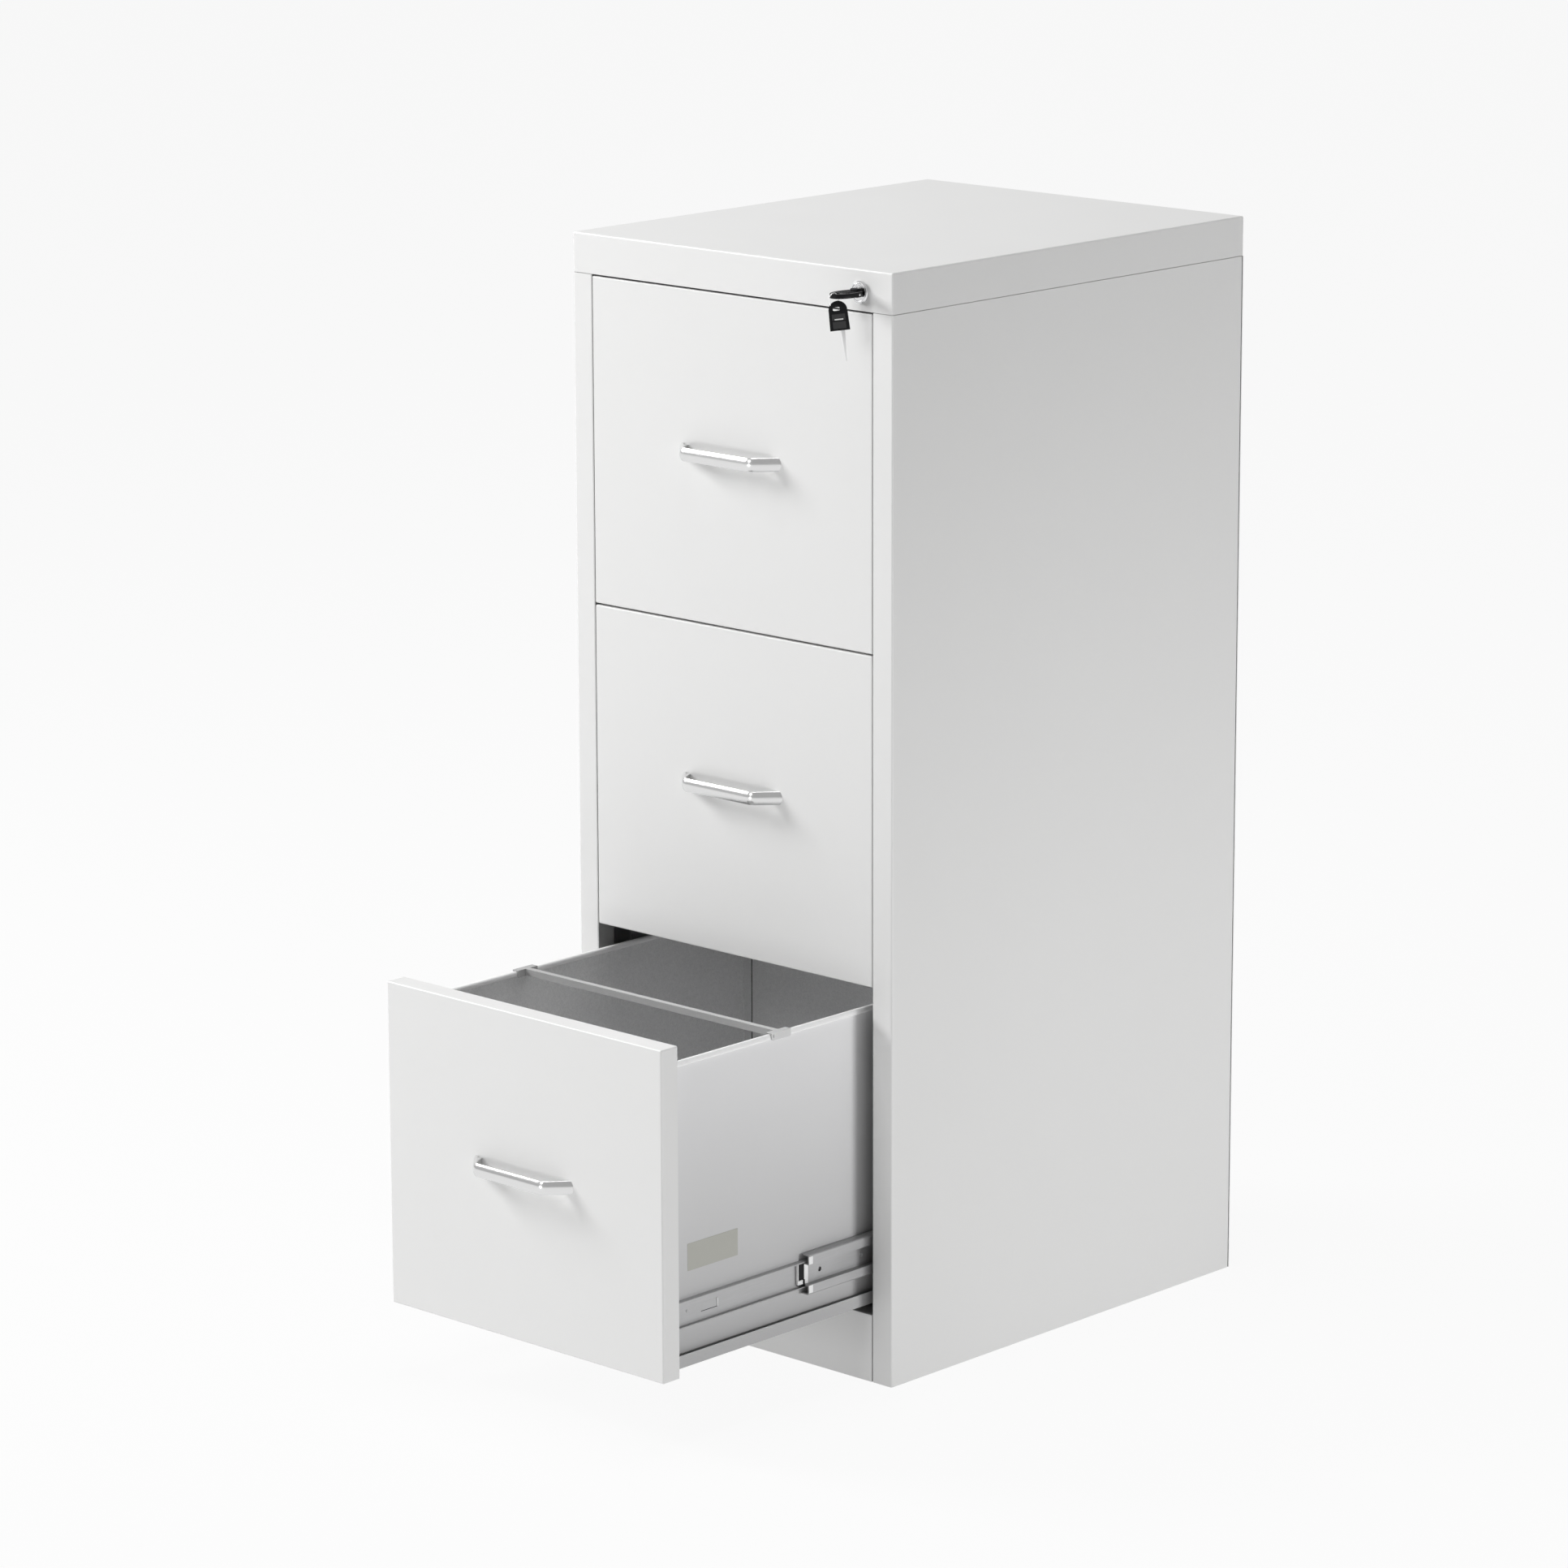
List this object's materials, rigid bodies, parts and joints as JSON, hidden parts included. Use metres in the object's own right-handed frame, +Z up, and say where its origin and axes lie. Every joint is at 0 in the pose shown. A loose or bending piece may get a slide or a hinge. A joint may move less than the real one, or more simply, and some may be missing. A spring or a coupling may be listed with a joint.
{
  "type": "vertical filing cabinet",
  "caption": "Tall narrow steel filing cabinet with stacked deep drawers on ball-bearing slides, bow handles, cross bars for hanging files and a top lock that holds the drawers.",
  "frame": {"origin": "on the floor, at the middle of the cabinet's footprint with the drawers closed", "axes": "+Z up and the longest side, +X to the right when facing the drawers, the drawer fronts face -Y"},
  "size_m": [0.393, 0.78, 1.02],
  "materials": {
    "white_enamel": "satin baked enamel, very light grey white",
    "grey_enamel": "fine-textured light grey enamel",
    "rail_steel": "zinc-plated cold-rolled steel",
    "bar_steel": "plated steel strip",
    "bare_steel": "plain plated steel",
    "handle_nickel": "satin nickel",
    "lock_chrome": "polished chrome",
    "lock_brass": "polished plated plug",
    "key_plastic": "black plastic key head",
    "cage_plastic": "black ball cage"
  },
  "bodies": {
    "cabinet": {"top_cover": "white_enamel", "left_side_panel": "white_enamel", "right_side_panel": "white_enamel", "back_panel": "white_enamel", "base_pan": "white_enamel", "kick_plate": "white_enamel", "slide_uprights": "bare_steel", "left_cabinet_rails": "rail_steel", "right_cabinet_rails": "rail_steel", "lock_housing": "lock_chrome"},
    "lower_drawer": {"lower_drawer_front": "white_enamel", "lower_drawer_liner": "grey_enamel", "lower_drawer_left_wall": "grey_enamel", "lower_drawer_right_wall": "grey_enamel", "lower_drawer_back": "grey_enamel", "lower_drawer_pan": "grey_enamel", "lower_handle": "handle_nickel", "lower_handle_screws": "bare_steel", "lower_left_drawer_rail": "rail_steel", "lower_right_drawer_rail": "rail_steel"},
    "lower_centre_rails": {"lower_left_centre_rail": "rail_steel", "lower_right_centre_rail": "rail_steel"},
    "lower_inner_cages": {"lower_inner_ball_cages": "cage_plastic"},
    "lower_outer_cages": {"lower_outer_ball_cages": "cage_plastic"},
    "lower_file_bar_body": {"lower_file_bar": "bar_steel"},
    "middle_drawer": {"middle_drawer_front": "white_enamel", "middle_drawer_liner": "grey_enamel", "middle_drawer_left_wall": "grey_enamel", "middle_drawer_right_wall": "grey_enamel", "middle_drawer_back": "grey_enamel", "middle_drawer_pan": "grey_enamel", "middle_handle": "handle_nickel", "middle_handle_screws": "bare_steel", "middle_left_drawer_rail": "rail_steel", "middle_right_drawer_rail": "rail_steel"},
    "middle_centre_rails": {"middle_left_centre_rail": "rail_steel", "middle_right_centre_rail": "rail_steel"},
    "middle_inner_cages": {"middle_inner_ball_cages": "cage_plastic"},
    "middle_outer_cages": {"middle_outer_ball_cages": "cage_plastic"},
    "middle_file_bar_body": {"middle_file_bar": "bar_steel"},
    "upper_drawer": {"upper_drawer_front": "white_enamel", "upper_drawer_liner": "grey_enamel", "upper_drawer_left_wall": "grey_enamel", "upper_drawer_right_wall": "grey_enamel", "upper_drawer_back": "grey_enamel", "upper_drawer_pan": "grey_enamel", "upper_handle": "handle_nickel", "upper_handle_screws": "bare_steel", "upper_left_drawer_rail": "rail_steel", "upper_right_drawer_rail": "rail_steel"},
    "upper_centre_rails": {"upper_left_centre_rail": "rail_steel", "upper_right_centre_rail": "rail_steel"},
    "upper_inner_cages": {"upper_inner_ball_cages": "cage_plastic"},
    "upper_outer_cages": {"upper_outer_ball_cages": "cage_plastic"},
    "upper_file_bar_body": {"upper_file_bar": "bar_steel"},
    "lock_cylinder": {"lock_plug": "lock_brass", "lock_cam": "bare_steel", "key": "key_plastic"},
    "lock_rod": {"locking_rod": "bare_steel"}
  },
  "joints": [
    {"name": "lower_drawer_slide", "type": "slide", "parent": "cabinet", "child": "lower_drawer", "axis": [0, -1, 0], "range_m": [-0.272, 0.158]},
    {"name": "lower_centre_rails_slide", "type": "slide", "parent": "cabinet", "child": "lower_centre_rails", "axis": [0, -1, 0], "range_m": [-0.11152, 0.06478]},
    {"name": "lower_inner_cages_slide", "type": "slide", "parent": "cabinet", "child": "lower_inner_cages", "axis": [0, -1, 0], "range_m": [-0.19176, 0.11139]},
    {"name": "lower_outer_cages_slide", "type": "slide", "parent": "cabinet", "child": "lower_outer_cages", "axis": [0, -1, 0], "range_m": [-0.05576, 0.03239]},
    {"name": "lower_file_bar_slide", "type": "slide", "parent": "lower_drawer", "child": "lower_file_bar_body", "axis": [0, 1, 0], "range_m": [-0.125, 0.285]},
    {"name": "middle_drawer_slide", "type": "slide", "parent": "cabinet", "child": "middle_drawer", "axis": [0, -1, 0], "range_m": [0, 0.43]},
    {"name": "middle_centre_rails_slide", "type": "slide", "parent": "cabinet", "child": "middle_centre_rails", "axis": [0, -1, 0], "range_m": [0, 0.1763]},
    {"name": "middle_inner_cages_slide", "type": "slide", "parent": "cabinet", "child": "middle_inner_cages", "axis": [0, -1, 0], "range_m": [0, 0.30315]},
    {"name": "middle_outer_cages_slide", "type": "slide", "parent": "cabinet", "child": "middle_outer_cages", "axis": [0, -1, 0], "range_m": [0, 0.08815]},
    {"name": "middle_file_bar_slide", "type": "slide", "parent": "middle_drawer", "child": "middle_file_bar_body", "axis": [0, 1, 0], "range_m": [-0.125, 0.285]},
    {"name": "upper_drawer_slide", "type": "slide", "parent": "cabinet", "child": "upper_drawer", "axis": [0, -1, 0], "range_m": [0, 0.43]},
    {"name": "upper_centre_rails_slide", "type": "slide", "parent": "cabinet", "child": "upper_centre_rails", "axis": [0, -1, 0], "range_m": [0, 0.1763]},
    {"name": "upper_inner_cages_slide", "type": "slide", "parent": "cabinet", "child": "upper_inner_cages", "axis": [0, -1, 0], "range_m": [0, 0.30315]},
    {"name": "upper_outer_cages_slide", "type": "slide", "parent": "cabinet", "child": "upper_outer_cages", "axis": [0, -1, 0], "range_m": [0, 0.08815]},
    {"name": "upper_file_bar_slide", "type": "slide", "parent": "upper_drawer", "child": "upper_file_bar_body", "axis": [0, 1, 0], "range_m": [-0.125, 0.285]},
    {"name": "key_turn", "type": "hinge", "parent": "cabinet", "child": "lock_cylinder", "pos_m": [0.1585, -0.2435, 1], "axis": [0, 1, 0], "range_deg": [0, 90]},
    {"name": "rod_slide", "type": "slide", "parent": "cabinet", "child": "lock_rod", "axis": [0, 0, 1], "range_m": [-0.01698, 0]}
  ],
  "couplings": [
    {"joint": "lower_centre_rails_slide", "follows": "lower_drawer_slide", "ratio": 0.41},
    {"joint": "lower_inner_cages_slide", "follows": "lower_drawer_slide", "ratio": 0.705},
    {"joint": "lower_outer_cages_slide", "follows": "lower_drawer_slide", "ratio": 0.205},
    {"joint": "middle_centre_rails_slide", "follows": "middle_drawer_slide", "ratio": 0.41},
    {"joint": "middle_inner_cages_slide", "follows": "middle_drawer_slide", "ratio": 0.705},
    {"joint": "middle_outer_cages_slide", "follows": "middle_drawer_slide", "ratio": 0.205},
    {"joint": "upper_centre_rails_slide", "follows": "upper_drawer_slide", "ratio": 0.41},
    {"joint": "upper_inner_cages_slide", "follows": "upper_drawer_slide", "ratio": 0.705},
    {"joint": "upper_outer_cages_slide", "follows": "upper_drawer_slide", "ratio": 0.205},
    {"joint": "key_turn", "follows": "rod_slide", "rad_per_m": -92.5}
  ]
}
